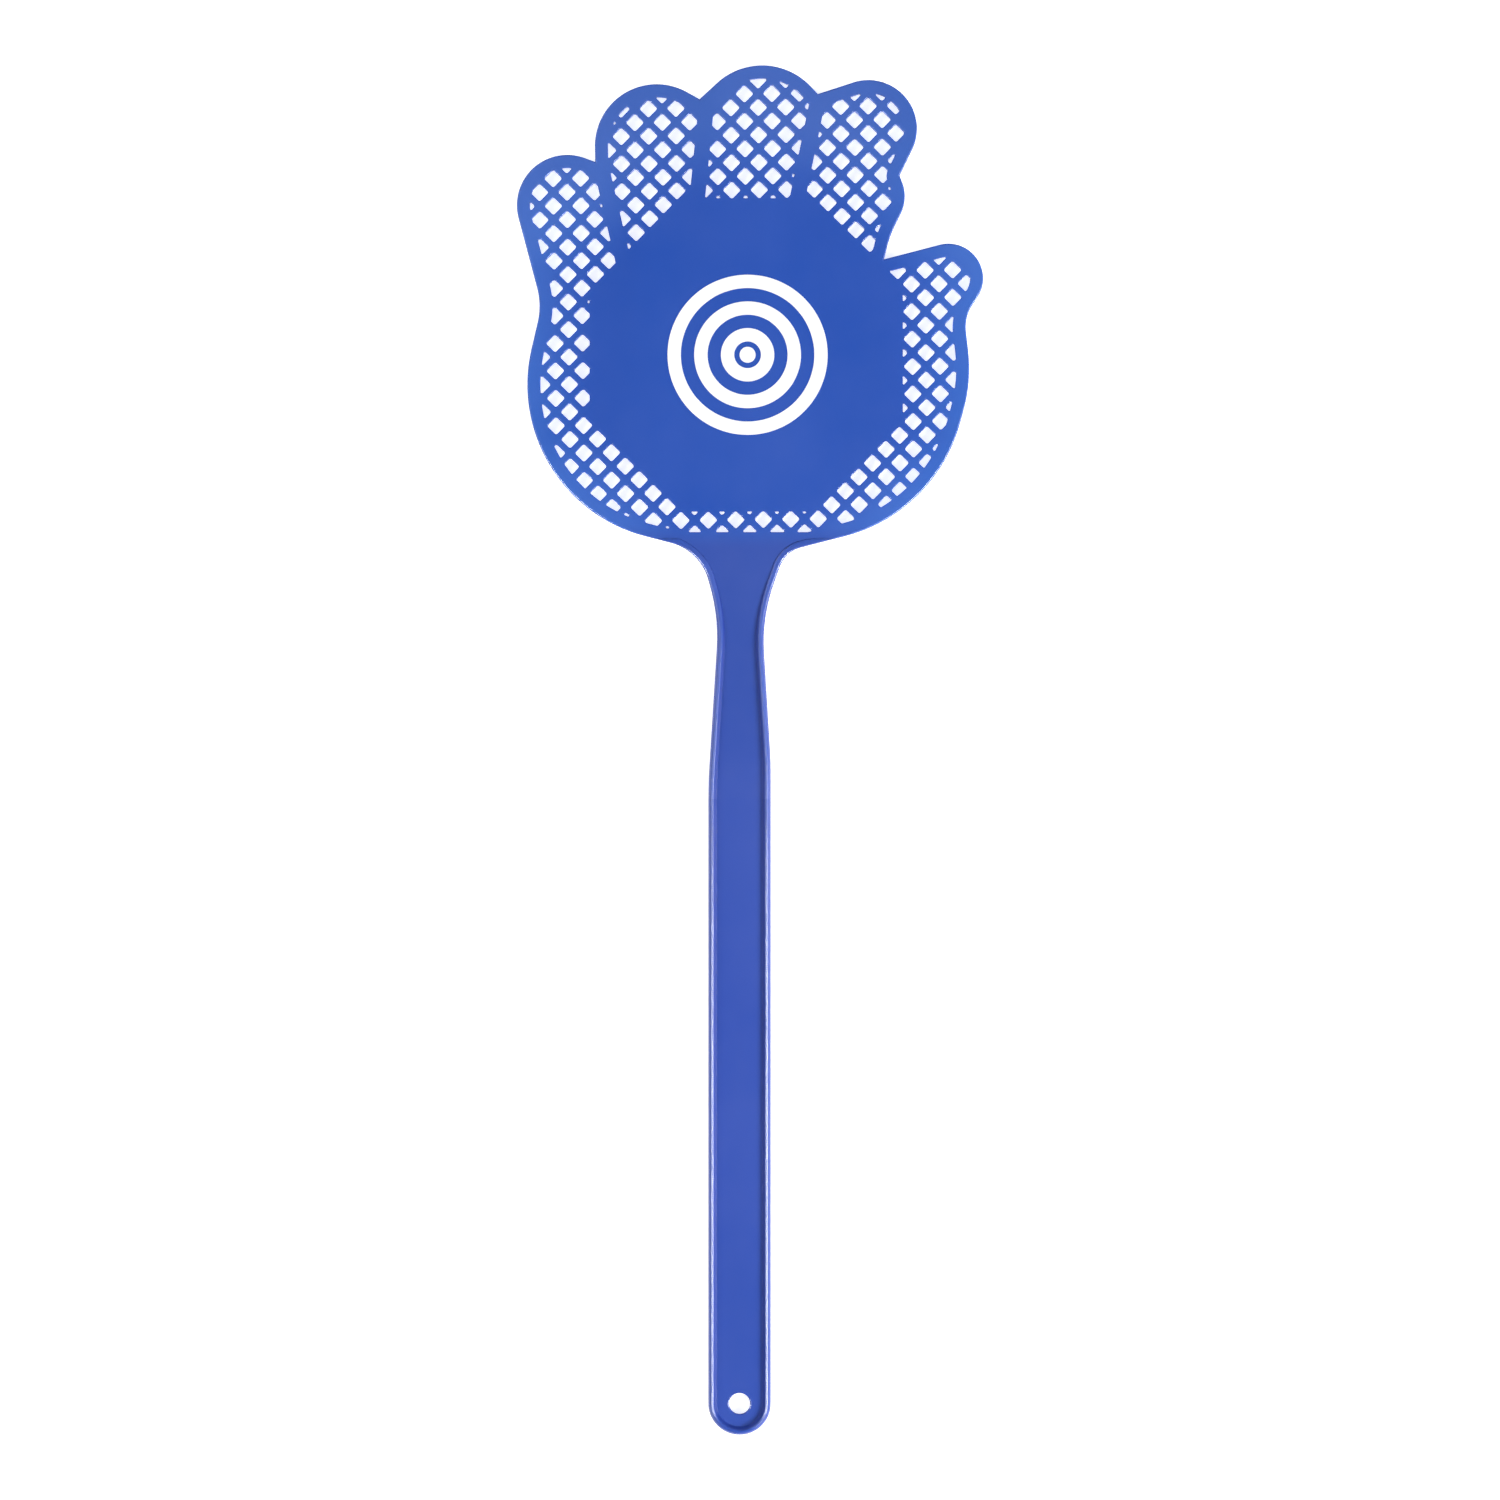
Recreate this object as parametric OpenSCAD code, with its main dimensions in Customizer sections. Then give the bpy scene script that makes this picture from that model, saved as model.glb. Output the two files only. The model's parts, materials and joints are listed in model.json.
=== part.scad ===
// Hand-shaped fly swatter: one flexible plastic moulding with a printed target.
// It lies flat, print side up, with the fingers towards +Y.
// Origin: the middle of the outline, on the plane that the handle rests on.
// The moulding is drawn as its zones, which meet face to face.

/* [Moulding] */
// Thickness of the flat sheet: the hand, the neck and the handle's floor
sheet_t = 1.6; // [1.4:0.1:2]
// Full height of the flange that stands up and down round the handle
flange_h = 5; // [4:0.5:6]
// Width of the flange at its foot
flange_w = 2.5; // [2.2:0.1:2.8]
// How far the flange's rounded outer side leans in from its foot to its top
flange_lean = 1.2; // [0.8:0.1:1.4]

/* [Handle] */
// Radius of the round end, and half the width of the grip
grip_r = 9; // [8.5:0.1:9.5]
// Diameter of the hole for hanging it on a nail or hook
hang_hole_d = 6; // [4:0.5:8]
// Length over which the flange sinks to the sheet below the hand
flange_fade = 40; // [30:1:50]
// How far the flange still stands proud of the sheet where it ends
flange_end_h = 0.3; // [0.2:0.1:0.5]

/* [Hand] */
// Width of the solid border round the mesh
border_w = 3.8; // [3.2:0.1:4.4]
// Width of the ribs that divide the fingers
rib_w = 4.5; // [4:0.1:5]
// Width of the solid octagonal palm across its upright and level sides
palm_w = 90; // [86:1:92]
// Plain margin left between the mesh holes and the edge of a mesh panel
panel_margin = 0.8; // [0.6:0.1:0.9]

/* [Mesh] */
// Distance between the centre lines of neighbouring strands
strand_pitch = 5.58; // [5.5:0.01:5.7]
// Width of a strand
strand_w = 1.95; // [1.8:0.05:2.2]
// Radius of the corners of a whole hole
hole_corner_r = 0.5; // [0.3:0.05:0.6]
// Radius of the corners where the border or the palm cuts a hole
cut_corner_r = 0.25; // [0.2:0.05:0.3]
// Small turn of the mesh away from 45 degrees
mesh_tilt = 0.7; // [0:0.1:1]

/* [Flex line] */
// Clearance between the hand's rounded edge and its seat in the neck
flex_gap = 0.05; // [0.04:0.01:0.08]

/* [Print] */
// Outer diameter of the printed target
target_d = 46; // [40:1:56]
// Thickness of the ink
ink_t = 0.05; // [0.04:0.01:0.1]

/* [Hidden] */

moulding_blue = [0.2, 0.34, 0.72];
mesh_blue = [0.26, 0.42, 0.82];
ink_white = [0.97, 0.97, 0.97];

// Heights: everything is centred on the sheet's middle plane
mid_z = flange_h / 2;
sheet_z = mid_z - sheet_t / 2;

// Handle: its axis lies a little left of the hand's middle
handle_x = -3;
end_y = -187.7;
grip_top_y = -14;
flex_y = 61.5;
seat_r = sheet_t / 2 + flex_gap;
lip_y = flex_y - sqrt(seat_r * seat_r - sheet_t * sheet_t / 4);
flange_top_y = flex_y - 1;
neck_reach_y = flex_y + 4;

// Outline, counter-clockwise from the handle's end: [x, y, radius] of each arc.
// A positive radius bulges out, a negative one curves in, and zero is a sharp corner.
thumb_crotch = [38.5, 141];
middle_index_web = [19.5, 188.5];
ring_middle_web = [-14.5, 187];
little_ring_web = [-44.5, 169];
handle_end = [[handle_x, end_y, grip_r]];
right_neck = [
    [handle_x + grip_r - 97, grip_top_y + 8, 97],
    [55, 31, -51],
    [17, 49.5, -9]
];
hand = [
    [16, 106, 46],
    [18, 109.5, 45],
    [73.5, 121.5, -11.5],
    [57, 135.5, 10],
    [thumb_crotch[0], thumb_crotch[1], 0],
    [69.5, 137, -31],
    [33, 159, 11.5],
    [43, 165, 0],
    [34, 178.5, 14],
    [middle_index_web[0], middle_index_web[1], 0],
    [3.5, 177.5, 19.2],
    [ring_middle_web[0], ring_middle_web[1], 0],
    [-26.8, 173.5, 17.8],
    [little_ring_web[0], little_ring_web[1], 0],
    [-52.5, 156.5, 14.5],
    [-81, 127.5, -20.5],
    [-19, 105, 45]
];
left_neck = [
    [-26.5, 45, -15],
    [-64, 32.5, -54.5],
    [handle_x - grip_r + 150, grip_top_y, 150]
];
outline = concat(handle_end, right_neck, hand, left_neck);
arc_step = 3;

// Hand
palm_centre = [-1.1, 113.5];
mesh_centre = [-0.7, 113.5];
palm_strands = 8;
palm_slant_w = 2 * palm_strands * strand_pitch + strand_w;
heel_y = 62.6;
// Each rib's centre line, from inside the palm to its root in the border
little_ring_line = [[-34.7, 133], [-41.7, 163]];
ring_middle_line = [[-15.6, 154], [-13, 180.5]];
middle_index_line = [[12.7, 154], [18.4, 181.5]];

// Mesh
hole_w = strand_pitch - strand_w;
mesh_reach = 110;
mesh_half_count = ceil(mesh_reach / strand_pitch);
mesh_angle = mesh_tilt - 45;
far = 20;

// Print
ring_w = target_d / 12;

function wrap(a) = a - 360 * floor(a / 360);
function backwards(list) = [for (k = [len(list) - 1 : -1 : 0]) list[k]];

// Direction of the outward normal of the straight run from one arc to the next
function run_normal(a, b) =
    atan2(b[1] - a[1], b[0] - a[0]) - 90
    + asin((a[2] - b[2]) / norm([b[0] - a[0], b[1] - a[1]]));

// Angle that an arc turns through between its two runs
function arc_sweep(r, from, to) =
    r >= 0 ? wrap(to - from + 90) - 90 : 90 - wrap(from - to + 90);

// One arc as a list of [x, y, nx, ny]: points, each with its outward normal
function arc_points(c, from, sweep) =
    let (steps = max(1, ceil(abs(sweep) / arc_step)))
    [for (k = [0 : steps]) let (a = from + sweep * k / steps)
        [c[0] + c[2] * cos(a), c[1] + c[2] * sin(a), cos(a), sin(a)]];

function arc_at(arcs, i) =
    let (
        n = len(arcs),
        from = run_normal(arcs[(i + n - 1) % n], arcs[i]),
        to = run_normal(arcs[i], arcs[(i + 1) % n])
    )
    arc_points(arcs[i], from, arc_sweep(arcs[i][2], from, to));

// A closed outline of arcs joined by their tangents, drawn in by an inset
function belt(arcs, inset) =
    let (moved = [for (a = arcs) [a[0], a[1], a[2] - inset]])
    [for (i = [0 : len(moved) - 1])
        each moved[i][2] == 0 ? [[moved[i][0], moved[i][1]]]
            : [for (p = arc_at(moved, i)) [p[0], p[1]]]];

// A point on a line past its second end, and a point counted in strands from the mesh's centre
function beyond(line, k) = line[0] + k * (line[1] - line[0]);
function strand_point(u, v) =
    mesh_centre + strand_pitch
    * [u * cos(mesh_angle) - v * sin(mesh_angle), u * sin(mesh_angle) + v * cos(mesh_angle)];

// Every hole of the mesh: a square with round corners, as a loop of points
function hole_loop(i, j) =
    let (c = hole_w / 2 - hole_corner_r)
    [for (q = [0 : 3]) for (step = [0 : 4])
        let (a = 90 * q + 22.5 * step, t = mesh_angle, k = 45 + 90 * q)
        strand_point(i, j)
        + c * sqrt(2) * [cos(k + t), sin(k + t)]
        + hole_corner_r * [cos(a + t), sin(a + t)]];
hole_loops = [for (i = [-mesh_half_count : mesh_half_count - 1])
    for (j = [-mesh_half_count : mesh_half_count - 1])
        if (norm([i + 0.5, j + 0.5]) * strand_pitch < mesh_reach) hole_loop(i + 0.5, j + 0.5)];

// Stations up one side of the neck, where the flange follows the outline
outline_points = [for (i = [0 : len(outline) - 1]) if (outline[i][2] != 0) each arc_at(outline, i)];

function is_neck_point(p, side) =
    p[1] > grip_top_y + 0.1 && p[1] < neck_reach_y && side * (p[0] - handle_x) > 0;

function neck_stations(side) =
    let (
        found = [for (p = outline_points) if (is_neck_point(p, side)) p],
        start = [handle_x + side * grip_r, grip_top_y, side, 0]
    )
    concat([start], side > 0 ? found : backwards(found));

right_stations = neck_stations(1);
left_stations = neck_stations(-1);

// How far the flange has faded at a height up the neck: 0 is full, 1 is its end
function fade(y) =
    let (t = min(1, max(0, (y - flange_top_y + flange_fade) / flange_fade)))
    t * t * (3 - 2 * t);
function rail_half_h(y) = mid_z + fade(y) * (sheet_t / 2 + flange_end_h - mid_z);
function rail_w(y) = flange_w - 0.6 * fade(y);

// Section of the flange: [distance in from the outline, height above the middle plane]
function rail_section(w, h) = [
    [0, -0.3 * h], [0, 0.3 * h], [0.3 * flange_lean, 0.78 * h], [flange_lean, h],
    [w, h], [w, -h], [flange_lean, -h], [0.3 * flange_lean, -0.78 * h]
];

module outline_2d(inset = 0) {
    polygon(belt(outline, inset));
}

module level_band(from_y, to_y) {
    translate([-100, from_y])
        square([200, to_y - from_y]);
}

// The solid palm: upright sides, and slanted ones along the edge of a strand
module palm_2d() {
    intersection() {
        translate(palm_centre)
            square(palm_w, center = true);
        translate(mesh_centre)
            rotate(mesh_angle)
                square(palm_slant_w, center = true);
    }
}

module strip_2d(line, w, spare = 0) {
    run = line[1] - line[0];
    translate(line[0])
        rotate(atan2(run[1], run[0]))
            translate([0, -w / 2])
                square([norm(run) + spare, w]);
}

// The parts of the hand that the mesh fills
module windows_2d() {
    difference() {
        intersection() {
            outline_2d(border_w);
            level_band(heel_y, 300);
        }
        palm_2d();
        strip_2d(little_ring_line, rib_w, rib_w);
        strip_2d(ring_middle_line, rib_w, rib_w);
        strip_2d(middle_index_line, rib_w, rib_w);
    }
}

module hole_grid_2d() {
    polygon([for (h = hole_loops) each h], [for (k = [0 : len(hole_loops) - 1])
        [for (m = [0 : len(hole_loops[k]) - 1]) k * len(hole_loops[k]) + m]]);
}

// All holes of the mesh, with round corners, also where the border cuts a hole
module holes_2d() {
    offset(r = cut_corner_r, $fn = 16)
        offset(delta = -cut_corner_r)
            intersection() {
                windows_2d();
                hole_grid_2d();
            }
}

// Each mesh panel reaches a margin past its window, and its sharp corners are cut short
module panels_2d() {
    intersection() {
        offset(delta = panel_margin)
            windows_2d();
        offset(r = 2.2 * panel_margin, $fn = 24)
            windows_2d();
    }
}

// Its children as one area, with any hairline gap along their shared edges closed
module sealed_2d() {
    offset(delta = -0.01)
        offset(delta = 0.01)
            children();
}

module mesh_panel(zone) {
    color(mesh_blue)
        translate([0, 0, sheet_z])
            linear_extrude(sheet_t)
                sealed_2d()
                    difference() {
                        intersection() {
                            panels_2d();
                            polygon(zone);
                        }
                        holes_2d();
                    }
}

// The zone of one rib between two fingers, from the palm to just under the notch
module rib_zone_2d(line) {
    strip_2d(line, rib_w + 2 * panel_margin);
}

module finger_rib_2d(line) {
    difference() {
        rib_zone_2d(line);
        sealed_2d() {
            panels_2d();
            palm_core_2d();
        }
    }
}

module palm_core_2d() {
    offset(delta = -panel_margin)
        palm_2d();
}

module finger_rib(line) {
    color(moulding_blue)
        translate([0, 0, sheet_z])
            linear_extrude(sheet_t)
                finger_rib_2d(line);
}

// Where the run from one point to the next crosses a height up the neck
function crossings(points, y) =
    [for (i = [0 : len(points) - 2])
        let (a = points[i], b = points[i + 1])
        if (a[1] < y && b[1] >= y) a + (b - a) * (y - a[1]) / (b[1] - a[1])];

// Edge of the neck's floor on one side: up the foot of the flange, across its end
// and out along the outline to the flex line
function floor_edge(stations) =
    let (
        outer = [for (p = stations) [p[0], p[1]]],
        inner = [for (p = stations) [p[0] - p[2] * rail_w(p[1]), p[1] - p[3] * rail_w(p[1])]]
    )
    concat(
        [for (p = inner) if (p[1] < flange_top_y) p],
        crossings(inner, flange_top_y),
        crossings(outer, flange_top_y),
        [for (p = outer) if (p[1] > flange_top_y && p[1] < lip_y) p],
        crossings(outer, lip_y)
    );

// The flange swept along its stations, with closed ends
module rail(stations, side) {
    rings = [for (p = stations)
        [for (s = rail_section(rail_w(p[1]), rail_half_h(p[1])))
            [p[0] - p[2] * s[0], p[1] - p[3] * s[0], mid_z + s[1]]]];
    m = len(rings[0]);
    n = len(rings);
    walls = [for (i = [0 : n - 2])
        for (k = [0 : m - 1])
            [i * m + k, i * m + (k + 1) % m, (i + 1) * m + (k + 1) % m, (i + 1) * m + k]];
    ends = [
        [for (k = [m - 1 : -1 : 0]) k],
        [for (k = [0 : m - 1]) (n - 1) * m + k]
    ];
    faces = concat(walls, ends);
    turned = [for (f = faces) backwards(f)];
    intersection() {
        polyhedron([for (r = rings) each r], side > 0 ? faces : turned);
        translate([-50, grip_top_y, 0])
            cube([100, flange_top_y - grip_top_y, flange_h]);
    }
}

module handle_flange() {
    section = rail_section(flange_w, mid_z);
    color(moulding_blue)
        translate([handle_x, end_y, mid_z]) {
            rotate([0, 0, 180])
                rotate_extrude(angle = 180, $fn = 72)
                    polygon([for (s = section) [grip_r - s[0], s[1]]]);
            for (side = [-1, 1])
                rotate([90, 0, 0])
                    translate([0, 0, end_y - grip_top_y])
                        linear_extrude(grip_top_y - end_y)
                            polygon([for (s = section) [side * (grip_r - s[0]), s[1]]]);
        }
}

module handle_floor() {
    color(moulding_blue)
        translate([handle_x, end_y, sheet_z])
            difference() {
                union() {
                    cylinder(r = grip_r - flange_w, h = sheet_t, $fn = 72);
                    translate([flange_w - grip_r, 0, 0])
                        cube([2 * (grip_r - flange_w), grip_top_y - end_y, sheet_t]);
                }
                translate([0, 0, -1])
                    cylinder(d = hang_hole_d, h = sheet_t + 2, $fn = 48);
            }
}

module neck_flange_left() {
    color(moulding_blue)
        rail(left_stations, -1);
}

module neck_flange_right() {
    color(moulding_blue)
        rail(right_stations, 1);
}

// The cut-away along the flex line in which the hand's rounded edge turns
module flex_roll(r) {
    translate([0, flex_y, mid_z])
        rotate([0, 90, 0])
            cylinder(r = r, h = 100, center = true, $fn = 48);
}

module neck_floor() {
    color(moulding_blue)
        difference() {
            translate([0, 0, sheet_z])
                linear_extrude(sheet_t)
                    polygon(concat(floor_edge(right_stations), backwards(floor_edge(left_stations))));
            flex_roll(seat_r);
        }
}

module hand_border() {
    color(moulding_blue) {
        translate([0, 0, sheet_z])
            linear_extrude(sheet_t)
                difference() {
                    intersection() {
                        outline_2d();
                        level_band(flex_y, 300);
                    }
                    sealed_2d() {
                        panels_2d();
                        palm_core_2d();
                        rib_zone_2d(little_ring_line);
                        rib_zone_2d(ring_middle_line);
                        rib_zone_2d(middle_index_line);
                    }
                }
        intersection() {
            flex_roll(sheet_t / 2);
            translate([0, 0, sheet_z])
                linear_extrude(sheet_t)
                    intersection() {
                        outline_2d();
                        level_band(flex_y - sheet_t, flex_y);
                    }
        }
    }
}

module palm_plate() {
    color(moulding_blue)
        translate([0, 0, sheet_z])
            linear_extrude(sheet_t)
                palm_core_2d();
}

module little_ring_rib() {
    finger_rib(little_ring_line);
}

module ring_middle_rib() {
    finger_rib(ring_middle_line);
}

module middle_index_rib() {
    finger_rib(middle_index_line);
}

// Zones of the mesh: outlines that run along a rib and on through the web between two
// fingers, or along a strand's centre line
little_ring_far = beyond([little_ring_line[1], little_ring_web], 6);
ring_middle_far = beyond([ring_middle_line[1], ring_middle_web], 6);
middle_index_far = beyond([middle_index_line[1], middle_index_web], 6);
thumb_far = beyond([mesh_centre, thumb_crotch], 2.2);

module little_finger_mesh() {
    mesh_panel([mesh_centre, little_ring_line[0], little_ring_line[1], little_ring_far,
        strand_point(-far, -4), strand_point(0, -4)]);
}

module ring_finger_mesh() {
    mesh_panel([mesh_centre, ring_middle_line[0], ring_middle_line[1], ring_middle_far,
        little_ring_far, little_ring_line[1], little_ring_line[0]]);
}

module middle_finger_mesh() {
    mesh_panel([mesh_centre, middle_index_line[0], middle_index_line[1], middle_index_far,
        ring_middle_far, ring_middle_line[1], ring_middle_line[0]]);
}

module index_finger_mesh() {
    mesh_panel([mesh_centre, thumb_far, middle_index_far,
        middle_index_line[1], middle_index_line[0]]);
}

module thumb_mesh() {
    mesh_panel([mesh_centre, strand_point(6, 0), strand_point(6, far), thumb_far]);
}

module thumb_side_mesh() {
    mesh_panel([strand_point(6, 0), strand_point(far, 0),
        strand_point(far, far), strand_point(6, far)]);
}

module heel_mesh() {
    mesh_panel([mesh_centre, strand_point(0, -far),
        strand_point(far, -far), strand_point(far, 0)]);
}

module little_side_mesh() {
    mesh_panel([strand_point(0, -4), strand_point(-far, -4),
        strand_point(-far, -far), strand_point(0, -far)]);
}

// A plain target: three rings round a dot
module target_print() {
    color(ink_white)
        translate([mesh_centre[0], mesh_centre[1], sheet_z + sheet_t]) {
            cylinder(d = 1.2 * ring_w, h = ink_t, $fn = 48);
            for (k = [1 : 3])
                difference() {
                    cylinder(r = 2 * k * ring_w, h = ink_t, $fn = 96);
                    translate([0, 0, -1])
                        cylinder(r = (2 * k - 1) * ring_w, h = ink_t + 2, $fn = 96);
                }
        }
}

handle_flange();
handle_floor();
neck_flange_left();
neck_flange_right();
neck_floor();
hand_border();
palm_plate();
little_ring_rib();
ring_middle_rib();
middle_index_rib();
little_finger_mesh();
ring_finger_mesh();
middle_finger_mesh();
index_finger_mesh();
thumb_mesh();
thumb_side_mesh();
heel_mesh();
little_side_mesh();
target_print();
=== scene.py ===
import json
import math

import bmesh
import bpy
import numpy as np
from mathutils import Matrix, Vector, geometry


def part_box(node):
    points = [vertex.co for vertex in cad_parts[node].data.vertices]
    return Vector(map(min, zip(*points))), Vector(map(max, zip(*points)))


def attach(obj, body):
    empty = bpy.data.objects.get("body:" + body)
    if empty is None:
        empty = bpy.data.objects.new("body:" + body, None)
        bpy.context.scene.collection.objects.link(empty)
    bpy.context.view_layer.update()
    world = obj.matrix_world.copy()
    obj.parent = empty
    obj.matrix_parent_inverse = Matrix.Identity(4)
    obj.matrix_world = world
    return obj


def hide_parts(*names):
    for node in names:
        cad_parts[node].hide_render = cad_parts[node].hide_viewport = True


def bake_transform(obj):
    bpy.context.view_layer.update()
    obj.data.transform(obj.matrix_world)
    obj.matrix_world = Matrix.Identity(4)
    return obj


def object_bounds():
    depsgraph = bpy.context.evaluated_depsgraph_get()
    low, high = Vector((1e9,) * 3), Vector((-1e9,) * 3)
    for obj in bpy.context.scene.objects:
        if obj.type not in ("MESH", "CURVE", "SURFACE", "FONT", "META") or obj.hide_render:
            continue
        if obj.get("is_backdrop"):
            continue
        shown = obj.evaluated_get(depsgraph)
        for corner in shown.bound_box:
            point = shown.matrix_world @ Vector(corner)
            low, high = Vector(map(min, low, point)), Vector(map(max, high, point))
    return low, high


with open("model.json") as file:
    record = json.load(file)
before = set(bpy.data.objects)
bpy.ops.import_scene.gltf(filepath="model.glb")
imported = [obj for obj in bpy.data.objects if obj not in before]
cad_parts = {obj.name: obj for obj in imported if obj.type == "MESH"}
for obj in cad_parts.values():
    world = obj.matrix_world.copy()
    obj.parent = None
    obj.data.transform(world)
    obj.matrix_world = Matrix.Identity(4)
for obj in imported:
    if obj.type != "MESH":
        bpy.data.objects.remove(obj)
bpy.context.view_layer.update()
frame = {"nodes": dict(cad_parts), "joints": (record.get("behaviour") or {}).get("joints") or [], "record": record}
scene = bpy.context.scene
MM = 0.001

# All lengths below are in mm, as in the part, until make() or a material turns them into m.


# ---------------------------------------------------------------- places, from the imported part
def box_mm(node):
    low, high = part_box(node)
    return low / MM, high / MM


hole = next(m for m in frame["record"]["mounts"] if m["name"] == "hanging_hole")
HOLE_X, HOLE_Y = hole["pos_m"][0] / MM, hole["pos_m"][1] / MM
HOLE_R = hole["dims"]["r_mm"]
hinge = frame["joints"][0]
FLEX_Y = hinge["pos_m"][1] / MM
MID_Z = hinge["pos_m"][2] / MM

palm_lo, palm_hi = box_mm("palm_plate")
PALM_X, PALM_Y = (palm_lo.x + palm_hi.x) / 2, (palm_lo.y + palm_hi.y) / 2
PALM_HALF = (palm_hi.x - palm_lo.x) / 2
HALF_SHEET = palm_hi.z - MID_Z
Z0, Z1 = MID_Z - HALF_SHEET, MID_Z + HALF_SHEET

grip_lo, grip_hi = box_mm("handle_flange")
GRIP_R = (grip_hi.x - grip_lo.x) / 2
HANDLE_X = (grip_hi.x + grip_lo.x) / 2
GRIP_TOP = grip_hi.y
END_Y = grip_lo.y + GRIP_R
HALF_FLANGE = grip_hi.z - MID_Z
FLANGE_W = box_mm("handle_floor")[0].x - grip_lo.x
FLANGE_TOP = box_mm("neck_flange_left")[1].y

ON_LINE = 0.01  # a point this close to a line counts as on it
EDGE_R = 0.45  # rounding of the hand's outer edge
BORE_R = 0.35  # rounding of the hanging hole's edges
STRAND_R = 0.18  # rounding of the mesh holes' edges
BEND_HALF = 7.0  # the sheet bends over this length on both sides of the flex line


# ---------------------------------------------------------------- loops of the flat pieces
def top_loops(node):
    """Outlines of a node's flat top face, with the material on the left."""
    flat_within, grid_per_mm = 1e-4, 2000
    mesh = frame["nodes"][node].data
    mesh.calc_loop_triangles()
    co = np.array([v.co for v in mesh.vertices]) / MM
    top = co[:, 2].max()
    known, places, edges = {}, [], set()
    for tri in mesh.loop_triangles:
        if any(top - co[i, 2] > flat_within for i in tri.vertices):
            continue
        ids = []
        for i in tri.vertices:
            key = (round(co[i, 0] * grid_per_mm), round(co[i, 1] * grid_per_mm))
            if key not in known:
                known[key] = len(places)
                places.append(co[i, :2])
            ids.append(known[key])
        edges.update(zip(ids, ids[1:] + ids[:1]))
    onward = {a: b for a, b in edges if (b, a) not in edges and a != b}
    loops = []
    while onward:
        first, here = onward.popitem()
        loop = [first]
        while here != first:
            loop.append(here)
            here = onward.pop(here)
        loops.append(thinned(np.array([places[i] for i in loop])))
    return sorted(loops, key=area)


def thinned(loop, gap=0.02):
    """A loop without the points that lie closer to the last one than the gap."""
    keep = [loop[0]]
    for p in loop[1:]:
        if np.hypot(*(p - keep[-1])) > gap:
            keep.append(p)
    if np.hypot(*(keep[0] - keep[-1])) <= gap:
        keep.pop()
    return np.array(keep)


def area(loop):
    x, y = loop[:, 0], loop[:, 1]
    return 0.5 * float(np.sum(x * np.roll(y, -1) - np.roll(x, -1) * y))


def inside(points, loops):
    """Even-odd test of points against a set of loops."""
    starts = np.concatenate(loops)
    ends = np.concatenate([np.roll(loop, -1, 0) for loop in loops])
    hits = np.zeros(len(points), int)
    for (ax, ay), (bx, by) in zip(starts, ends):
        crosses = (ay > points[:, 1]) != (by > points[:, 1])
        x = ax + (points[:, 1] - ay) / (by - ay if by != ay else 1) * (bx - ax)
        hits += crosses & (points[:, 0] < x)
    return hits % 2 == 1


def stretch(loop, level, side):
    """The part of a loop that leaves a level in Y at its outermost point on one side, and
    ends at the outermost point there on the other side."""
    at = np.flatnonzero(np.abs(loop[:, 1] - level) < ON_LINE)
    first = max(at, key=lambda i: side * loop[i, 0])
    last = min(at, key=lambda i: side * loop[i, 0])
    return np.roll(loop, -first, 0)[: (last - first) % len(loop) + 1]


# ---------------------------------------------------------------- making meshes
def make(name, verts, faces, normals=None):
    """A smooth mesh object; normals has one vector for each face corner."""
    mesh = bpy.data.meshes.new(name)
    mesh.from_pydata([tuple(v * MM for v in p) for p in verts], [], faces)
    mesh.polygons.foreach_set("use_smooth", [True] * len(mesh.polygons))
    if normals is not None:
        mesh.normals_split_custom_set([tuple(n) for n in normals])
    piece = bpy.data.objects.new(name, mesh)
    scene.collection.objects.link(piece)
    return piece


def edge_rings(radius, steps):
    """Profile of a rounded edge: distance in, height, and its normal's angle from up."""
    upper = []
    for k in range(steps + 1):
        q = math.pi / 2 * k / steps
        upper.append((radius * (1 - math.sin(q)), Z1 - radius * (1 - math.cos(q)), q))
    lower = [(into, Z0 + Z1 - z, math.pi - q) for into, z, q in reversed(upper)]
    return upper + lower


def corners(pts, free):
    """For each point of a loop, its move for 1 mm of rounding and its soft normal, which is
    zero at a sharp corner or beside a seam; for each edge, its outward normal."""
    longest_mitre, sharp_from = 0.3, 40
    ahead = np.roll(pts, -1, 0) - pts
    ahead /= np.linalg.norm(ahead, axis=1)[:, None]
    behind = np.roll(ahead, 1, 0)
    out = np.stack([ahead[:, 1], -ahead[:, 0]], 1)
    out_behind = np.roll(out, 1, 0)
    cross = behind[:, 0] * ahead[:, 1] - behind[:, 1] * ahead[:, 0]
    turn = np.degrees(np.arctan2(cross, np.sum(behind * ahead, 1)))
    move, soft = np.zeros((len(pts), 2)), np.zeros((len(pts), 2))
    for i in range(len(pts)):
        if free[i - 1] and free[i]:
            middle = out_behind[i] + out[i]
            middle /= np.linalg.norm(middle)
            move[i] = -middle / max(longest_mitre, float(middle @ out[i]))
            soft[i] = middle
        elif free[i - 1]:
            move[i] = ahead[i] / float(-ahead[i] @ out_behind[i])
        elif free[i]:
            move[i] = -behind[i] / float(behind[i] @ out[i])
    soft[np.abs(turn) > sharp_from] = 0
    return move, soft, out


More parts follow.
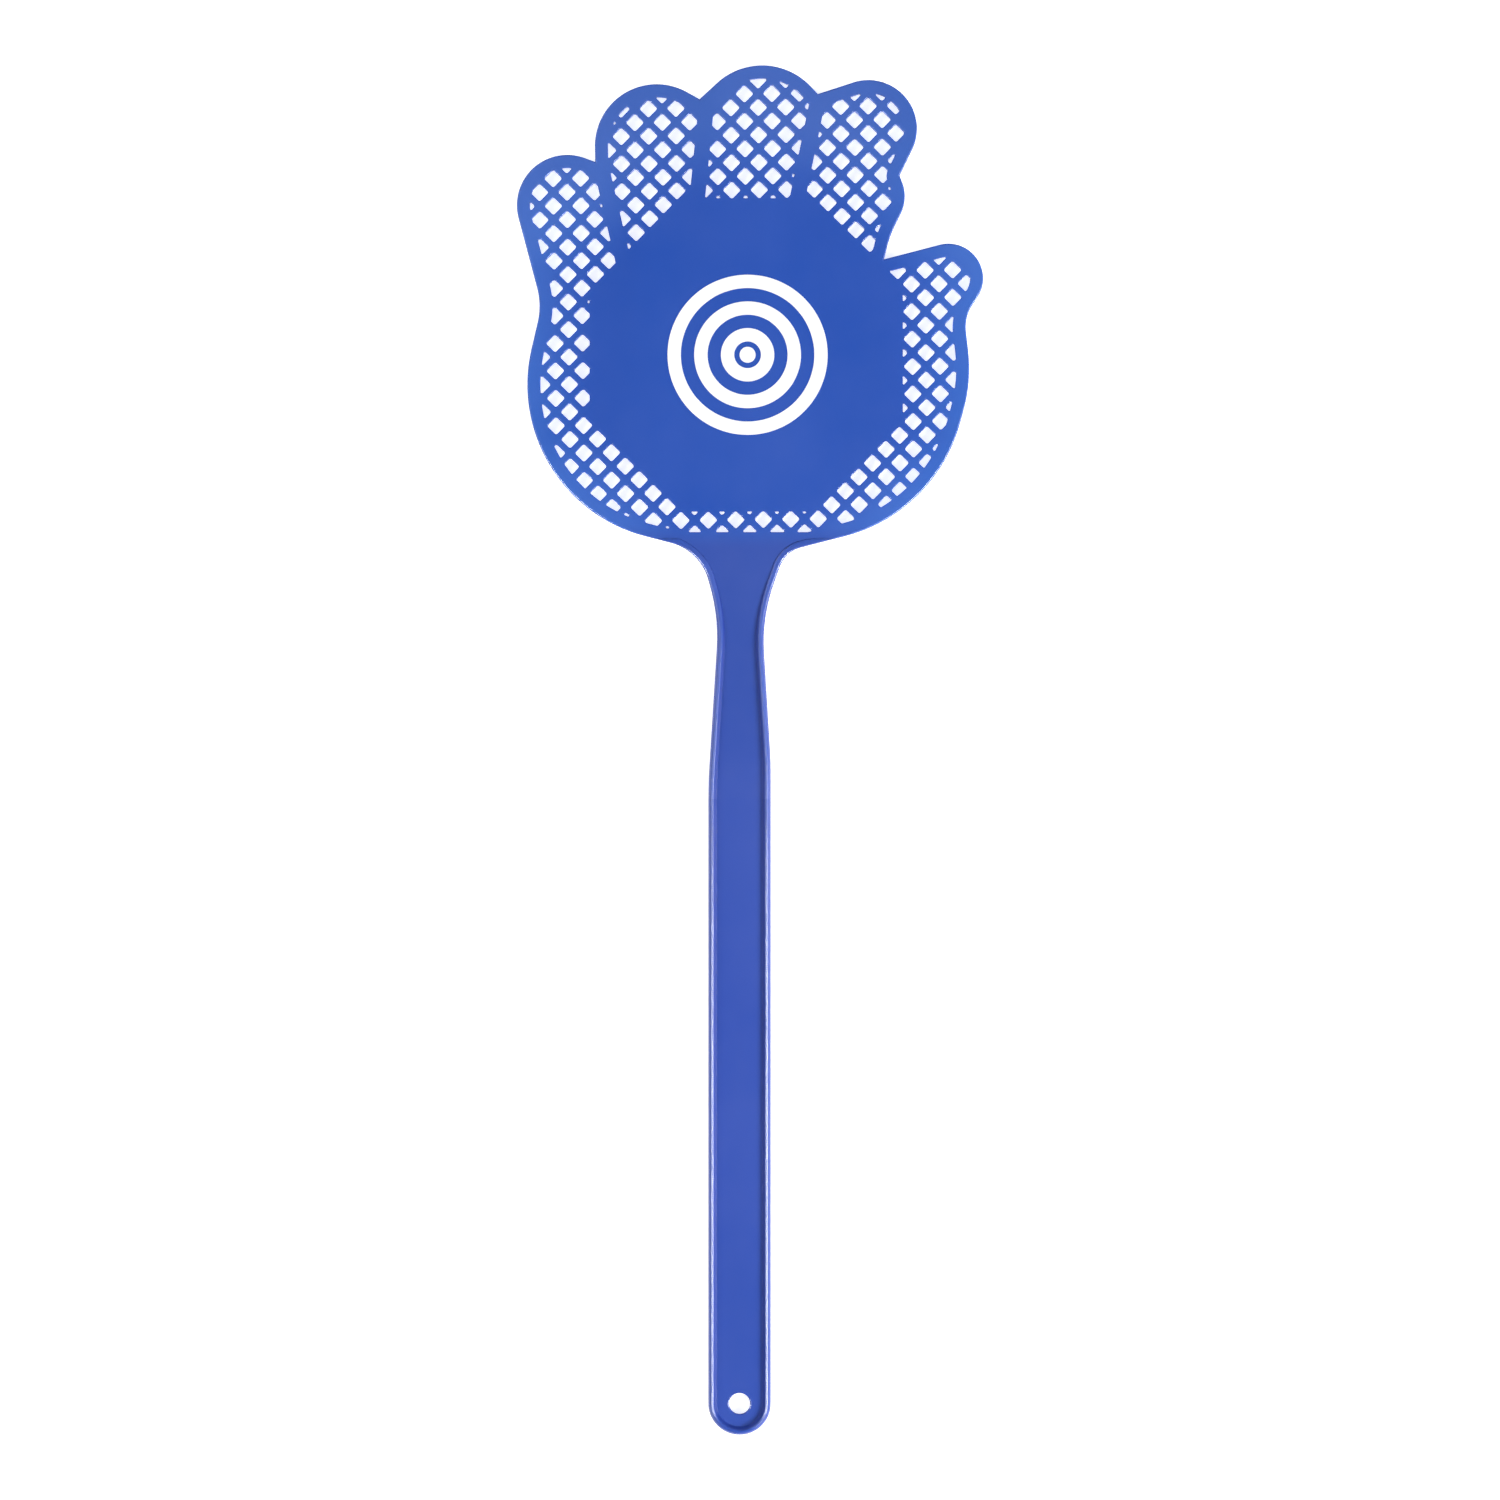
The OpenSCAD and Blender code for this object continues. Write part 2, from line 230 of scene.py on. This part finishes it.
def sheet(name, loops, spare=()):
    """A flat closed piece from Z0 to Z1. Each loop is (points, free, radius, steps), and free
    says for each edge whether it is a rounded outer edge, or a plain seam with the next
    piece. Spare points are set inside, so that the piece can bend there."""
    verts, faces, normals, rims, top, low = [], [], [], [], [], []
    for pts, free, radius, steps in loops:
        move, soft, out = corners(pts, free)
        rings = edge_rings(radius, steps) if any(free) else [(0, Z1, 0), (0, Z0, math.pi)]
        n, base = len(pts), len(verts)
        for into, z, _ in rings:
            verts += [(*(pts[i] + move[i] * into), z) for i in range(n)]
        for k in range(len(rings) - 1):
            for i in range(n):
                j = (i + 1) % n
                quad = ((i, k + 1), (j, k + 1), (j, k), (i, k))
                faces.append([base + row * n + c for c, row in quad])
                for c, row in quad:
                    x, y = soft[c] if soft[c].any() else out[i]
                    q = rings[row][2] if free[i] else math.pi / 2
                    normals.append((x * math.sin(q), y * math.sin(q), math.cos(q)))
        rims.append(np.array([v[:2] for v in verts[base : base + n]]))
        top += range(base, base + n)
        low += range(len(verts) - n, len(verts))

    flat, edges = [], []
    for rim in rims:
        first, n = len(flat), len(rim)
        flat += [Vector(p) for p in rim]
        edges += [(first + i, first + (i + 1) % n) for i in range(n)]
    if len(spare):
        spare = np.array(spare)
        for p in spare[inside(spare, rims)]:
            if min(np.min(np.hypot(*(rim - p).T)) for rim in rims) > EDGE_R:
                flat.append(Vector(p))
                top.append(len(verts))
                low.append(len(verts) + 1)
                verts += [(*p, Z1), (*p, Z0)]
    places, _, tris, origin = geometry.delaunay_2d_cdt(flat, edges, [], 0, 1e-7)[:4]
    middles = np.array([np.mean([places[i] for i in tri], 0) for tri in tris])
    for tri, solid in zip(tris, inside(middles, rims)):
        if not solid:
            continue
        ids = [origin[i][0] for i in tri]
        a, b, c = (flat[i] for i in ids)
        if (b - a).cross(c - a) < 0:
            ids.reverse()
        faces.append([top[i] for i in ids])
        faces.append([low[i] for i in reversed(ids)])
        normals += [(0, 0, 1)] * 3 + [(0, 0, -1)] * 3
    return make(name, verts, faces, normals)


def seam(loop):
    return (loop, [False] * len(loop), 0, 1)


def rounded(loop, radius, steps):
    return (loop, [True] * len(loop), radius, steps)


# ---------------------------------------------------------------- the flange round the handle
PEAK = 0.5  # where the crest stands, as a share of the width in from the outer edge
SECTION_STEPS = 12  # on each side of the crest
EASE = [(1 - math.cos(math.pi * k / SECTION_STEPS)) / 2 for k in range(SECTION_STEPS + 1)]
SHARES = [PEAK * e for e in EASE] + [PEAK + (1 - PEAK) * e for e in EASE[1:]]
FADE = 40.0  # the flange sinks into the sheet over this length of the neck
NARROWING = 0.6  # how much of its width it loses there
END_PROUD = 0.3  # what is left of its height over the sheet at its top end


def crest(share, fade):
    """Height over the sheet, as a share, at a share of the flange's width in from its outer
    edge: a round ridge along the handle, and a flatter band up the neck."""
    x = abs(share - PEAK) / (PEAK if share < PEAK else 1 - PEAK)
    ridge = (1 - x**2) ** (0.72 if share < PEAK else 0.85 + 0.7 * x)
    band = (1 - x**5) ** (0.6 if share < PEAK else 0.9)
    return ridge + fade * (band - ridge)


def sweep(name, stations):
    """The flange along (x, y, nx, ny, width, height, fade) stations, with closed ends."""
    verts, faces = [], []
    for x, y, nx, ny, width, height, fade in stations:
        rise = height - HALF_SHEET
        half = [(s * width, HALF_SHEET + crest(s, fade) * rise) for s in SHARES]
        ring = [(0.0, 0.0)] + half + [(s, -z) for s, z in reversed(half)]
        verts += [(x - nx * s, y - ny * s, MID_Z + z) for s, z in ring]
    m, last = len(verts) // len(stations), len(stations) - 1
    for k in range(last):
        for i in range(m):
            j = (i + 1) % m
            faces.append((k * m + i, k * m + j, (k + 1) * m + j, (k + 1) * m + i))
    faces.append(tuple(range(m - 1, -1, -1)))
    faces.append(tuple(last * m + i for i in range(m)))
    return make(name, verts, faces)


def settle(piece, cut=None):
    """Turns a piece's faces outwards and marks its corners, after cutting it at a level."""
    bm = bmesh.new()
    bm.from_mesh(piece.data)
    if cut is not None:
        got = bmesh.ops.bisect_plane(
            bm,
            geom=bm.verts[:] + bm.edges[:] + bm.faces[:],
            plane_co=(0, cut * MM, 0),
            plane_no=(0, 1, 0),
            clear_outer=True,
        )
        rim = [e for e in got["geom_cut"] if isinstance(e, bmesh.types.BMEdge)]
        bmesh.ops.contextual_create(bm, geom=rim)
    bmesh.ops.recalc_face_normals(bm, faces=bm.faces)
    bm.to_mesh(piece.data)
    bm.free()
    piece.data.polygons.foreach_set("use_smooth", [True] * len(piece.data.polygons))
    piece.data.set_sharp_from_angle(angle=math.radians(38))
    return piece


# The neck's outline as arcs (x, y, radius), as the part has them; a hollow arc's radius is
# negative, and the first and last arc only give the tangents
ARCS_RIGHT = [
    (HANDLE_X, END_Y, GRIP_R),
    (HANDLE_X + GRIP_R - 97, GRIP_TOP + 8, 97),
    (55, 31, -51),
    (17, 49.5, -9),
    (16, 106, 46),
    (18, 109.5, 45),
]
ARCS_LEFT = [
    (-81, 127.5, -20.5),
    (-19, 105, 45),
    (-26.5, 45, -15),
    (-64, 32.5, -54.5),
    (HANDLE_X - GRIP_R + 150, GRIP_TOP, 150),
    (HANDLE_X, END_Y, GRIP_R),
]
ARC_STEP = 3  # degrees


def run_normal(a, b):
    """Direction of the outward normal where one arc runs on into the next, in degrees."""
    gap = math.hypot(b[0] - a[0], b[1] - a[1])
    lean = math.degrees(math.asin((a[2] - b[2]) / gap))
    return math.degrees(math.atan2(b[1] - a[1], b[0] - a[0])) - 90 + lean


def arc_points(arcs, i):
    """Points of one arc, each with its outward normal."""
    x, y, r = arcs[i]
    a, b = run_normal(arcs[i - 1], arcs[i]), run_normal(arcs[i], arcs[i + 1])
    turn = (b - a + 90) % 360 - 90 if r >= 0 else 90 - (a - b + 90) % 360
    steps = max(1, math.ceil(abs(turn) / ARC_STEP))
    out = []
    for k in range(steps + 1):
        t = math.radians(a + turn * k / steps)
        out.append((x + r * math.cos(t), y + r * math.sin(t), math.cos(t), math.sin(t)))
    return out


def neck_stations(arcs, side):
    """Stations of one neck flange, from the top of the grip to just past its top end."""
    low, high = GRIP_TOP + 0.1, FLEX_Y + 4
    pts = [p for i in range(1, len(arcs) - 1) for p in arc_points(arcs, i)]
    pts = [p for p in pts if low < p[1] < high and side * (p[0] - HANDLE_X) > 0]
    if side < 0:
        pts.reverse()
    pts.insert(0, (HANDLE_X + side * GRIP_R, GRIP_TOP, side, 0.0))
    out = []
    for x, y, nx, ny in pts:
        t = min(1, max(0, (y - FLANGE_TOP + FADE) / FADE))
        fade = t * t * (3 - 2 * t)
        height = HALF_FLANGE + fade * (HALF_SHEET + END_PROUD - HALF_FLANGE)
        out.append((x, y, nx, ny, FLANGE_W - NARROWING * fade, height, fade))
    return out


# ---------------------------------------------------------------- materials
def shade(r, g, b):
    """A colour given as on the screen, 0 to 255, in the linear values of a shader."""

    def linear(c):
        c /= 255
        return c / 12.92 if c <= 0.04045 else ((c + 0.055) / 1.055) ** 2.4

    return linear(r), linear(g), linear(b), 1.0


class Nodes:
    """A material's node tree, with short ways to add and link its nodes."""

    def __init__(self, name):
        self.mat = bpy.data.materials.new(name)
        self.mat.use_nodes = True
        self.tree = self.mat.node_tree
        self.tree.nodes.clear()
        self.out = self.add("ShaderNodeOutputMaterial")

    def add(self, kind, **values):
        node = self.tree.nodes.new(kind)
        for key, value in values.items():
            setattr(node, key, value)
        return node

    def link(self, a, b):
        self.tree.links.new(a, b)

    def split(self, vector):
        """X, Y and Z outputs of a vector."""
        node = self.add("ShaderNodeSeparateXYZ")
        self.link(vector, node.inputs["Vector"])
        return node.outputs

    def place(self):
        """The point's place on its piece, in m."""
        return self.add("ShaderNodeTexCoord").outputs["Object"]

    def noise(self, scale, detail=2.0, stretch=(1, 1, 1), rough=0.5):
        """Noise with about this many lumps to the metre."""
        mapping = self.add("ShaderNodeMapping")
        mapping.inputs["Scale"].default_value = [scale * s for s in stretch]
        self.link(self.place(), mapping.inputs["Vector"])
        node = self.add("ShaderNodeTexNoise")
        node.inputs["Scale"].default_value = 1.0
        node.inputs["Detail"].default_value = detail
        node.inputs["Roughness"].default_value = rough
        self.link(mapping.outputs["Vector"], node.inputs["Vector"])
        return node.outputs["Fac"]

    def math(self, op, a, b=None):
        node = self.add("ShaderNodeMath", operation=op)
        for i, v in enumerate((a, b)):
            if isinstance(v, (int, float)):
                node.inputs[i].default_value = v
            elif v is not None:
                self.link(v, node.inputs[i])
        return node.outputs[0]

    def ranged(self, v, lo, hi, a, b, kind="LINEAR"):
        """Maps lo to a and hi to b, and holds the values beyond them."""
        node = self.add("ShaderNodeMapRange", interpolation_type=kind)
        self.link(v, node.inputs["Value"])
        for key, x in zip(("From Min", "From Max", "To Min", "To Max"), (lo, hi, a, b)):
            node.inputs[key].default_value = x
        return node.outputs["Result"]

    def soft(self, v, lo, hi):
        """0 at lo and 1 at hi, with a smooth step between them."""
        if lo < hi:
            return self.ranged(v, lo, hi, 0.0, 1.0, "SMOOTHSTEP")
        return self.ranged(v, hi, lo, 1.0, 0.0, "SMOOTHSTEP")

    def mix(self, share, a, b):
        node = self.add("ShaderNodeMix", data_type="RGBA")
        self.link(share, node.inputs["Factor"])
        for name, v in (("A", a), ("B", b)):
            socket = next(i for i in node.inputs if i.name == name and i.type == "RGBA")
            if isinstance(v, tuple):
                socket.default_value = v
            else:
                self.link(v, socket)
        return next(o for o in node.outputs if o.type == "RGBA")

    def finish(self, colour, rough, height, strength, depth):
        """Ends the tree in a shader with this colour, roughness and bump, and gives it."""
        bump = self.add("ShaderNodeBump")
        bump.inputs["Strength"].default_value = strength
        bump.inputs["Distance"].default_value = depth
        self.link(height, bump.inputs["Height"])
        shader = self.add("ShaderNodeBsdfPrincipled")
        self.link(colour, shader.inputs["Base Color"])
        self.link(rough, shader.inputs["Roughness"])
        self.link(bump.outputs["Normal"], shader.inputs["Normal"])
        self.link(shader.outputs["BSDF"], self.out.inputs["Surface"])
        return shader


PALM = shade(38, 77, 168)
# painted light: the hand's border, mesh and fingers are brighter than the palm, as if lit through the thin plastic
HAND_LIT_THROUGH = shade(59, 103, 190)
FINGERS_LIT_THROUGH = shade(61, 95, 176)
# the neck's and the handle's blue with a painted sheen, greyer and warmer than the palm
NECK_SHEENED = shade(49, 76, 160)
GRIP_SHEENED = shade(50, 76, 163)
TAIL = shade(45, 73, 160)
PAINTED_SHEEN = shade(120, 145, 240)  # painted sheen on the flange's crests
WALL_SHADE = shade(36, 56, 142)  # painted shade on the flange's steep walls


def zones(m):
    """The blue by place: deepest in the broad palm; brighter out in the hand's border, mesh and
    fingers, as painted light shining through the thin plastic; and greyer and warmer down the
    neck and the handle, as a painted sheen."""
    x, y, _ = m.split(m.place())
    dx = m.math("ABSOLUTE", m.math("SUBTRACT", x, PALM_X * MM))
    dy = m.math("ABSOLUTE", m.math("SUBTRACT", y, PALM_Y * MM))
    slant = m.math("MULTIPLY", m.math("ADD", dx, dy), math.sqrt(0.5))
    reach = m.math("MAXIMUM", m.math("MAXIMUM", dx, dy), slant)
    # share of the painted light through the plastic, growing away from the palm
    lit_through_share = m.soft(reach, (PALM_HALF - 2) * MM, (PALM_HALF + 26) * MM)
    upward = m.soft(y, 120 * MM, 190 * MM)
    base = m.mix(lit_through_share, PALM, m.mix(upward, HAND_LIT_THROUGH, FINGERS_LIT_THROUGH))
    # painted sheen down the neck and the handle
    base = m.mix(m.soft(y, (FLEX_Y + 4) * MM, (FLEX_Y - 4) * MM), base, NECK_SHEENED)
    base = m.mix(m.soft(y, (FLEX_Y - 30) * MM, (GRIP_TOP - 16) * MM), base, GRIP_SHEENED)
    return m.mix(m.soft(y, -110 * MM, -180 * MM), base, TAIL)


def painted_sheen_and_wall_shade(m, base, sheen_share):
    """Painted light on the flange: a painted sheen, paler in patches, and painted shade on its steep walls."""
    y = m.split(m.place())["Y"]
    # the painted sheen: patchy, fading out at the flange's top end and near the handle's round end
    sheen_patches = m.ranged(m.noise(50), 0.3, 0.7, 0.85 * sheen_share, 1.15 * sheen_share)
    fade = m.soft(y, FLANGE_TOP * MM, (FLANGE_TOP - 9) * MM)
    lift = m.soft(y, (grip_lo.y + 1) * MM, (grip_lo.y + 10) * MM)
    share = m.math("MULTIPLY", m.math("MULTIPLY", sheen_patches, fade), lift)
    base = m.mix(share, base, PAINTED_SHEEN)
    # painted shade: darker where the surface is steep
    up = m.split(m.add("ShaderNodeNewGeometry").outputs["Normal"])["Z"]
    wall_shade_share = m.soft(m.math("ABSOLUTE", up), 0.9, 0.4)
    return m.mix(m.math("MULTIPLY", wall_shade_share, 0.65), base, WALL_SHADE)


def plastic(name, gloss, sheen_share=0.0):
    """Moulded polypropylene, with faint clouds, flow lines and a satin grain."""
    m = Nodes(name)
    base = zones(m)
    if sheen_share:
        base = painted_sheen_and_wall_shade(m, base, sheen_share)
    cloud = m.noise(16, 3.0, rough=0.55)
    flow = m.noise(70, stretch=(1.0, 0.1, 1.0))
    blend = m.math("ADD", m.math("MULTIPLY", cloud, 0.65), m.math("MULTIPLY", flow, 0.35))
    tone = m.add("ShaderNodeHueSaturation")
    m.link(m.ranged(blend, 0.3, 0.7, 0.95, 1.05), tone.inputs["Value"])
    m.link(m.ranged(cloud, 0.3, 0.7, 1.02, 0.98), tone.inputs["Saturation"])
    m.link(base, tone.inputs["Color"])
    rough = m.ranged(m.noise(240), 0.3, 0.7, gloss - 0.02, gloss + 0.02)
    grain = m.noise(1900, rough=0.6)
    wave = m.noise(110, 1.0)
    height = m.math("ADD", m.math("MULTIPLY", grain, 0.35), m.math("MULTIPLY", wave, 0.5))
    shader = m.finish(tone.outputs["Color"], rough, height, 0.03 if sheen_share else 0.25, 0.03 * MM)
    shader.inputs["IOR"].default_value = 1.49
    return m.mat


def ink(name):
    """Pad-printed white ink: thin, matte, a little uneven."""
    m = Nodes(name)
    cloud = m.ranged(m.noise(420, 3.0), 0.35, 0.65, 0.0, 1.0)
    base = m.mix(cloud, (0.80, 0.81, 0.84, 1), (0.90, 0.90, 0.91, 1))
    rough = m.ranged(m.noise(900), 0.3, 0.7, 0.5, 0.62)
    m.finish(base, rough, m.noise(2600), 0.3, 0.02 * MM)
    return m.mat


moulding = plastic("moulding", 0.2)
grip = plastic("grip", 0.17)
strands = plastic("strands", 0.2)
rims = plastic("rims", 0.15, sheen_share=0.06)
neck_rims = plastic("neck_rims", 0.18, sheen_share=0.14)
print_white = ink("print_white")


def finish_piece(piece, mat, body, nodes):
    """Gives a piece its material and body; a piece with no body is left unparented, with its place baked into its
    mesh.
    """
    piece.data.materials.append(mat)
    if body is None:
        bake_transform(piece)
    else:
        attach(piece, body)
    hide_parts(*nodes)


# ---------------------------------------------------------------- handle
def round_part(x, y, r, start, end, steps):
    """Points of an arc between two angles in degrees."""
    out = []
    for k in range(steps + 1):
        t = math.radians(start + (end - start) * k / steps)
        out.append((x + r * math.cos(t), y + r * math.sin(t)))
    return out


inner_r = GRIP_R - FLANGE_W
stadium = [(HANDLE_X + inner_r, GRIP_TOP), (HANDLE_X - inner_r, GRIP_TOP)]
stadium += round_part(HANDLE_X, END_Y, inner_r, 180, 360, 36)
bore = round_part(HOLE_X, HOLE_Y, HOLE_R, 360, 0, 72)[:-1]
web = sheet("handle_floor_web", [seam(np.array(stadium)), rounded(np.array(bore), BORE_R, 4)])
finish_piece(web, grip, "handle", ["handle_floor"])

u_path = [(HANDLE_X - GRIP_R, GRIP_TOP, -1.0, 0.0)]
for nx, ny in round_part(0, 0, 1, 180, 360, 36):
    u_path.append((HANDLE_X + GRIP_R * nx, END_Y + GRIP_R * ny, nx, ny))
u_path.append((HANDLE_X + GRIP_R, GRIP_TOP, 1.0, 0.0))
rim = sweep("handle_rim", [(*p, FLANGE_W, HALF_FLANGE, 0) for p in u_path])
finish_piece(settle(rim), rims, "handle", ["handle_flange"])

for side, arcs, name in ((1, ARCS_RIGHT, "right"), (-1, ARCS_LEFT, "left")):
    rim = settle(sweep("neck_rim_" + name, neck_stations(arcs, side)), FLANGE_TOP)
    finish_piece(rim, neck_rims, None, ["neck_flange_" + name])

# ---------------------------------------------------------------- neck and border, one sheet
*windows, hand = top_loops("hand_border")
neck = top_loops("neck_floor")[-1]
outline = np.concatenate([stretch(hand, FLEX_Y, 1), stretch(neck, neck[:, 1].max(), -1)])
ends = np.sort([outline[:, 1], np.roll(outline[:, 1], -1)], axis=0)
free = list((ends[0] > FLANGE_TOP - ON_LINE) & (ends[1] > FLANGE_TOP + ON_LINE))
bend_grid = [
    (x, y)
    for y in np.arange(FLEX_Y - BEND_HALF - 0.5, FLEX_Y + BEND_HALF + 0.6, 0.75)
    for x in np.arange(-45, 45, 2.5)
]
loops = [(outline, free, EDGE_R, 4)] + [seam(loop) for loop in windows]
border = sheet("neck_and_border", loops, bend_grid)
finish_piece(border, moulding, None, ["neck_floor", "hand_border"])

# ---------------------------------------------------------------- palm, ribs and mesh
for node in ("palm_plate", "little_ring_rib", "ring_middle_rib", "middle_index_rib"):
    web = sheet(node + "_web", [seam(loop) for loop in top_loops(node)])
    finish_piece(web, moulding, "head", [node])

MESHES = (
    "little_finger_mesh",
    "ring_finger_mesh",
    "middle_finger_mesh",
    "index_finger_mesh",
    "thumb_mesh",
    "thumb_side_mesh",
    "heel_mesh",
    "little_side_mesh",
)
for node in MESHES:
    bends = node == "heel_mesh"
    *openings, around = top_loops(node)
    loops = [seam(around)] + [rounded(loop, STRAND_R, 2) for loop in openings]
    web = sheet(node + "_web", loops, bend_grid if bends else ())
    finish_piece(web, strands, None if bends else "head", [node])


# ---------------------------------------------------------------- print
def rings_of_ink(name, x, y, radii, low, thick, steps=160):
    """Turned rings of ink with soft edges, from (inner, outer) radii; inner 0 is a dot."""
    verts, faces = [], []
    soft = 0.6 * thick
    top, shoulder = low + thick, low + thick - soft
    for inner, outer in radii:
        outline = [(outer, low), (outer, shoulder), (outer - soft, top)]
        if inner > 0:
            outline += [(inner + soft, top), (inner, shoulder), (inner, low)]
        base, m = len(verts), len(outline)
        for k in range(steps):
            t = 2 * math.pi * k / steps
            verts += [(x + r * math.cos(t), y + r * math.sin(t), z) for r, z in outline]
        for k in range(steps):
            here, ahead = base + k * m, base + (k + 1) % steps * m
            for i in range(m if inner > 0 else m - 1):
                j = (i + 1) % m
                faces.append((here + i, ahead + i, ahead + j, here + j))
        if inner <= 0:
            faces.append([base + k * m + m - 1 for k in range(steps)])
            faces.append([base + k * m for k in reversed(range(steps))])
    return settle(make(name, verts, faces))


ink_lo, ink_hi = box_mm("target_print")
ring_w = (ink_hi.x - ink_lo.x) / 12
target = rings_of_ink(
    "target_rings",
    (ink_lo.x + ink_hi.x) / 2,
    (ink_lo.y + ink_hi.y) / 2,
    [(0, 0.6 * ring_w)] + [((2 * k - 1) * ring_w, 2 * k * ring_w) for k in (1, 2, 3)],
    ink_lo.z,
    ink_hi.z - ink_lo.z,
)
finish_piece(target, print_white, "head", ["target_print"])

# ---------------------------------------------------------------- studio, in m
FLOOR_HALF = 3.0
corner_signs = ((-1, -1), (1, -1), (1, 1), (-1, 1))
floor_mesh = bpy.data.meshes.new("floor")
floor_mesh.from_pydata(
    [(FLOOR_HALF * i, FLOOR_HALF * j, 0) for i, j in corner_signs], [], [(0, 1, 2, 3)]
)
floor = bpy.data.objects.new("floor", floor_mesh)
scene.collection.objects.link(floor)
m = Nodes("floor_paper")
paper = m.add("ShaderNodeBsdfPrincipled")
paper.inputs["Roughness"].default_value = 0.9
paper.inputs["Emission Color"].default_value = (1, 1, 1, 1)
paper.inputs["Emission Strength"].default_value = 0.73
tone = m.mix(m.noise(9), (0.86, 0.86, 0.86, 1), (0.89, 0.89, 0.89, 1))
m.link(tone, paper.inputs["Base Color"])
m.link(paper.outputs["BSDF"], m.out.inputs["Surface"])
floor_mesh.materials.append(m.mat)
floor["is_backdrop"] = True

# A white room, brightest at the horizon and dimmer from about 24 degrees up
world = bpy.data.worlds.new("studio")
scene.world = world
world.use_nodes = True
nodes, links = world.node_tree.nodes, world.node_tree.links
sky = nodes["Background"]
sky.inputs["Color"].default_value = (1, 1, 1, 1)
split = nodes.new("ShaderNodeSeparateXYZ")
level = nodes.new("ShaderNodeMapRange")
for key, x in (("From Min", 0.0), ("From Max", 0.4), ("To Min", 0.7), ("To Max", 0.22)):
    level.inputs[key].default_value = x
links.new(nodes.new("ShaderNodeTexCoord").outputs["Generated"], split.inputs["Vector"])
links.new(split.outputs["Z"], level.inputs["Value"])
links.new(level.outputs["Result"], sky.inputs["Strength"])


def lamp(name, place, aim, size, power):
    data = bpy.data.lights.new(name, "AREA")
    data.shape = "RECTANGLE"
    data.size, data.size_y = size
    data.energy = power
    light = bpy.data.objects.new(name, data)
    light.location = place
    light.rotation_mode = "QUATERNION"
    light.rotation_quaternion = (Vector(aim) - Vector(place)).to_track_quat("-Z", "Y")
    scene.collection.objects.link(light)
    return light


lamp("right_box", (0.74, -0.48, 0.7), (0, 0, 0), (1.2, 0.5), 19.5)
lamp("left_box", (-0.8, 0.25, 0.78), (0, 0, 0), (1.3, 0.7), 6.5)
for side in (-1, 1):  # these two only draw the highlights along the flange
    strip = lamp("strip", (0.64 * side, -0.36, 1.1), (0, -0.36, 0), (0.58, 0.2), 30)
    strip.visible_diffuse = False

SENSOR, LENS = 36, 100
OBJECT_SHARE = 0.91267  # of the picture's height
low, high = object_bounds()
view = (high.y - low.y) / OBJECT_SHARE
camera_data = bpy.data.cameras.new("camera")
camera_data.sensor_width = SENSOR
camera_data.lens = LENS
camera_data.clip_end = 10
camera = bpy.data.objects.new("camera", camera_data)
camera.location = ((low.x + high.x) / 2, (low.y + high.y) / 2, MID_Z * MM + view * LENS / SENSOR)
scene.collection.objects.link(camera)
scene.camera = camera
scene.view_settings.view_transform = "Standard"
